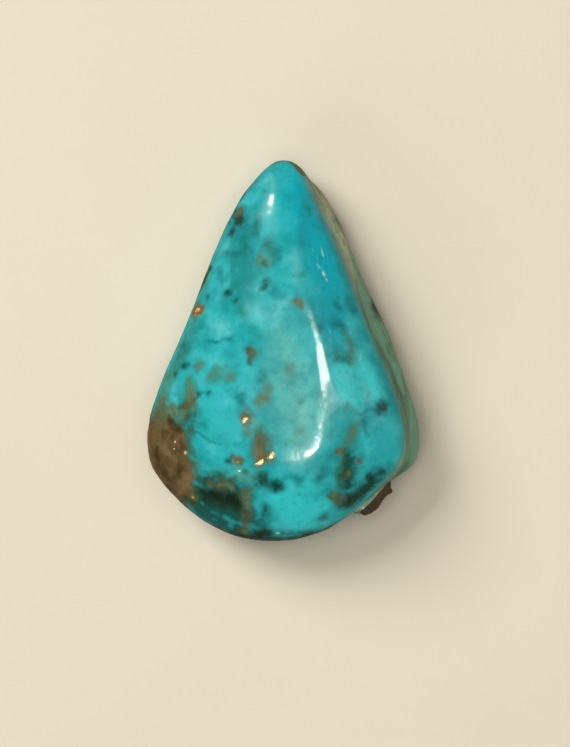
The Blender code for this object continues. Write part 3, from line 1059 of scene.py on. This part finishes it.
def earth_colour(tree, clouds, first, second, third):
    """A mix of three earth colours in soft patches and fine grains."""
    patches = band(tree, clouds["patch"], *EARTH_PATCHES)
    colour = blend(tree, patches, paint(first), paint(second))
    return blend(tree, band(tree, clouds["fine"], *EARTH_GRAINS), colour, paint(third))


def flank_colour(tree, clouds, colour):
    """The leaning flank: grey-green, beige near the tip, greener on the bulge, and stained."""
    patches = band(tree, clouds["patch"], *FLANK_PATCHES)
    flank = blend(tree, patches, paint(FLANK_GREEN), paint(FLANK_DULL))
    flank = blend(tree, field(tree, "flank_top"), flank, paint(FLANK_BEIGE))
    flank = blend(tree, field(tree, "bulge"), flank, paint(BULGE_GREEN))
    stains = band(tree, clouds["streak"], *FLANK_STAINS)
    flank = blend(tree, stains, flank, paint(GROOVE_BROWN))
    return blend(tree, field(tree, "flank"), colour, flank)


def finished_shares(tree, fray):
    """Where each of the FINISHED_MARKS shows, and where the flank does."""
    shares = {"flank": field(tree, "flank")}
    for kind, (low, high, most, frayed) in FINISHED_MARKS.items():
        shares[kind] = mark_share(tree, kind, fray if frayed else 1.0, low, high, most)
    return shares


def marked_colour(tree, clouds, shares, colour):
    """The matrix, host rock and pyrite over the turquoise, with painted shade, a painted
    reflection, and painted glints and highlights.
    """
    fray = clouds["fray"]
    colour = layered(tree, colour, fray, MATRIX_LAYERS)
    olive = earth_colour(tree, clouds, OLIVE, MOSS, BROWN)
    colour = blend(tree, maths(tree, "MULTIPLY", shares["olive"], OLIVE_COVER), colour, olive)
    colour = blend(tree, shares["black"], colour, paint(BLACK_GREEN))
    colour = blend(tree, shares["tan"], colour, earth_colour(tree, clouds, TAN, OLIVE, BROWN))
    rock = earth_colour(tree, clouds, HOST_ROCK, DARK_ROCK, PALE_ROCK)
    colour = blend(tree, shares["rock"], colour, rock)
    colour = layered(tree, colour, fray, EDGE_LAYERS)
    lump = earth_colour(tree, clouds, LUMP_BROWN, UMBER, BROWN)
    colour = blend(tree, shares["lump"], colour, lump)
    grains = band(tree, clouds["fine"], *PYRITE_GRAINS)
    pyrite = blend(tree, grains, paint(OLD_GOLD), paint(PYRITE))
    colour = blend(tree, shares["gold"], colour, pyrite)
    # Painted glints on the pyrite and the host rock
    colour = blend(tree, shares["painted_glint"], colour, paint(PAINTED_GLINT_WHITE))
    # Painted highlights on the right shoulder and the lower edge
    return blend(tree, shares["painted_highlight"], colour, paint(PAINTED_HIGHLIGHT_WHITE))


def stone_roughness(tree, shares, grain):
    """Polished turquoise, duller matrix and rock, and a raw lump."""
    rough = maths(tree, "MULTIPLY_ADD", grain, GRAIN_ROUGHNESS, POLISHED_ROUGHNESS)
    for kind, more in ROUGHER.items():
        rough = maths(tree, "MULTIPLY_ADD", shares[kind], more, rough)
    return rough


def stone_bump(tree, shares, clouds):
    """Fine ripples and scratches in the polish, and a grain on matrix, rock and lump."""
    grain_height = 0.0
    for kind, most in GRAIN_HEIGHTS.items():
        grain_height = maths(tree, "MULTIPLY_ADD", shares[kind], most, grain_height)
    height = maths(tree, "MULTIPLY", clouds["grain"], grain_height)
    ripple = maths(tree, "MULTIPLY_ADD", shares["haze_and_sheen"], HAZE_RIPPLE, POLISH_RIPPLE)
    height = maths(tree, "MULTIPLY_ADD", clouds["ripple"], ripple, height)
    scuff = maths(tree, "MULTIPLY", shares["scuff"], SCUFF_HEIGHT)
    height = maths(tree, "MULTIPLY_ADD", clouds["fine"], scuff, height)
    node = tree.nodes.new("ShaderNodeBump")
    node.inputs["Distance"].default_value = MM
    node.inputs["Strength"].default_value = 1.0
    tree.links.new(height, node.inputs["Height"])
    return node.outputs["Normal"]


def stone_material():
    material = bpy.data.materials.new("turquoise")
    material.use_nodes = True
    tree = material.node_tree
    shader = tree.nodes["Principled BSDF"]
    place = coordinates(tree)
    clouds = {name: noise_node(tree, place, *cloud) for name, cloud in CLOUDS.items()}
    clouds["streak"] = noise_node(tree, along_flank(tree, place), *STREAK_CLOUDS)
    clouds["fray"] = maths(tree, "MULTIPLY_ADD", clouds["fray"], FRAY, 1 - FRAY / 2)
    shares = finished_shares(tree, clouds["fray"])
    colour = flank_colour(tree, clouds, turquoise_colour(tree, clouds))
    colour = marked_colour(tree, clouds, shares, colour)
    tree.links.new(colour, shader.inputs["Base Color"])
    metal = maths(tree, "MULTIPLY", shares["gold"], PYRITE_METAL)
    tree.links.new(metal, shader.inputs["Metallic"])
    tree.links.new(stone_roughness(tree, shares, clouds["grain"]), shader.inputs["Roughness"])
    tree.links.new(stone_bump(tree, shares, clouds), shader.inputs["Normal"])
    for name, value in POLISH.items():
        shader.inputs[name].default_value = value
    return material


def floor_material():
    material = bpy.data.materials.new("pale_floor")
    material.use_nodes = True
    tree = material.node_tree
    shader = tree.nodes["Principled BSDF"]
    place = coordinates(tree)
    shade = band(tree, noise_node(tree, place, *FLOOR_CLOUDS), *FLOOR_SHADE)
    colour = blend(tree, shade, (0, 0, 0, 1), paint(FLOOR_PALE))
    tree.links.new(colour, shader.inputs["Base Color"])
    shader.inputs["Roughness"].default_value = FLOOR_ROUGHNESS
    return material


def make_floor():
    mesh = bpy.data.meshes.new("floor")
    half = FLOOR_REACH * MM
    corners = [(-half, -half, 0), (half, -half, 0), (half, half, 0), (-half, half, 0)]
    mesh.from_pydata(corners, [], [(0, 1, 2, 3)])
    mesh.materials.append(floor_material())
    floor = bpy.data.objects.new("floor", mesh)
    floor.visible_glossy = False
    bpy.context.scene.collection.objects.link(floor)


def make_camera():
    """Straight above the stone, with the stone's tip up."""
    data = bpy.data.cameras.new("camera")
    data.sensor_width = SENSOR
    data.lens = SENSOR * (CAMERA_HEIGHT - FOCUS_HEIGHT) / VIEW_LONG_SIDE
    data.clip_start = CLIP_START * MM
    data.clip_end = CLIP_END * MM
    camera = bpy.data.objects.new("camera", data)
    camera.location = (CAMERA_XY[0] * MM, CAMERA_XY[1] * MM, CAMERA_HEIGHT * MM)
    bpy.context.scene.collection.objects.link(camera)
    bpy.context.scene.camera = camera


def make_lights(stone):
    """The lights. The fills are linked to the stone, so that its shadow stays."""
    lit = bpy.data.collections.new("lit by the fills")
    lit.objects.link(stone)
    for name, bearing, height, roll, (width, tall), brightness, use in LIGHTS:
        data = bpy.data.lights.new(name, "AREA")
        data.shape = "RECTANGLE"
        data.size = width * MM
        data.size_y = tall * MM
        data.energy = brightness * math.pi * width * tall * MM * MM
        data.color = paint(LIGHT_WARM)[:3]
        turn, lift = math.radians(bearing), math.radians(height)
        way = Vector((math.cos(turn) * math.cos(lift), math.sin(turn) * math.cos(lift),
                      math.sin(lift)))
        light = bpy.data.objects.new(name, data)
        light.location = way * LIGHT_DISTANCE * MM
        facing = (-way).to_track_quat("-Z", "Y").to_matrix()
        light.rotation_euler = (facing @ Matrix.Rotation(math.radians(roll), 3, "Z")).to_euler()
        light.visible_glossy = use == "shine"
        light.visible_diffuse = use != "shine"
        if use == "fill":
            light.light_linking.receiver_collection = lit
        bpy.context.scene.collection.objects.link(light)


def make_world():
    """A dim warm sky, paler near the horizon, with a soft glow straight overhead."""
    world = bpy.data.worlds.new("studio")
    bpy.context.scene.world = world
    world.use_nodes = True
    tree = world.node_tree
    background = tree.nodes["Background"]
    background.inputs["Color"].default_value = paint(SKY_WARM)
    way = tree.nodes.new("ShaderNodeTexCoord")
    parts = tree.nodes.new("ShaderNodeSeparateXYZ")
    tree.links.new(way.outputs["Generated"], parts.inputs[0])
    lift = parts.outputs["Z"]
    edge = band(tree, lift, 0.0, SKY_EDGE_REACH, SKY_EDGE, SKY_MIDDLE)
    strength = maths(tree, "ADD", edge, band(tree, lift, SKY_GLOW_START, 1.0, 0.0, SKY_GLOW))
    tree.links.new(strength, background.inputs["Strength"])


def main():
    low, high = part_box(NODE)
    stone = make_stone(np.array(low) / MM, np.array(high) / MM)
    stone.data.materials.clear()
    stone.data.materials.append(stone_material())
    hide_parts(NODE)
    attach(stone, "root")
    make_floor()
    make_camera()
    make_lights(stone)
    make_world()
    bpy.context.scene.view_settings.view_transform = "Standard"


main()
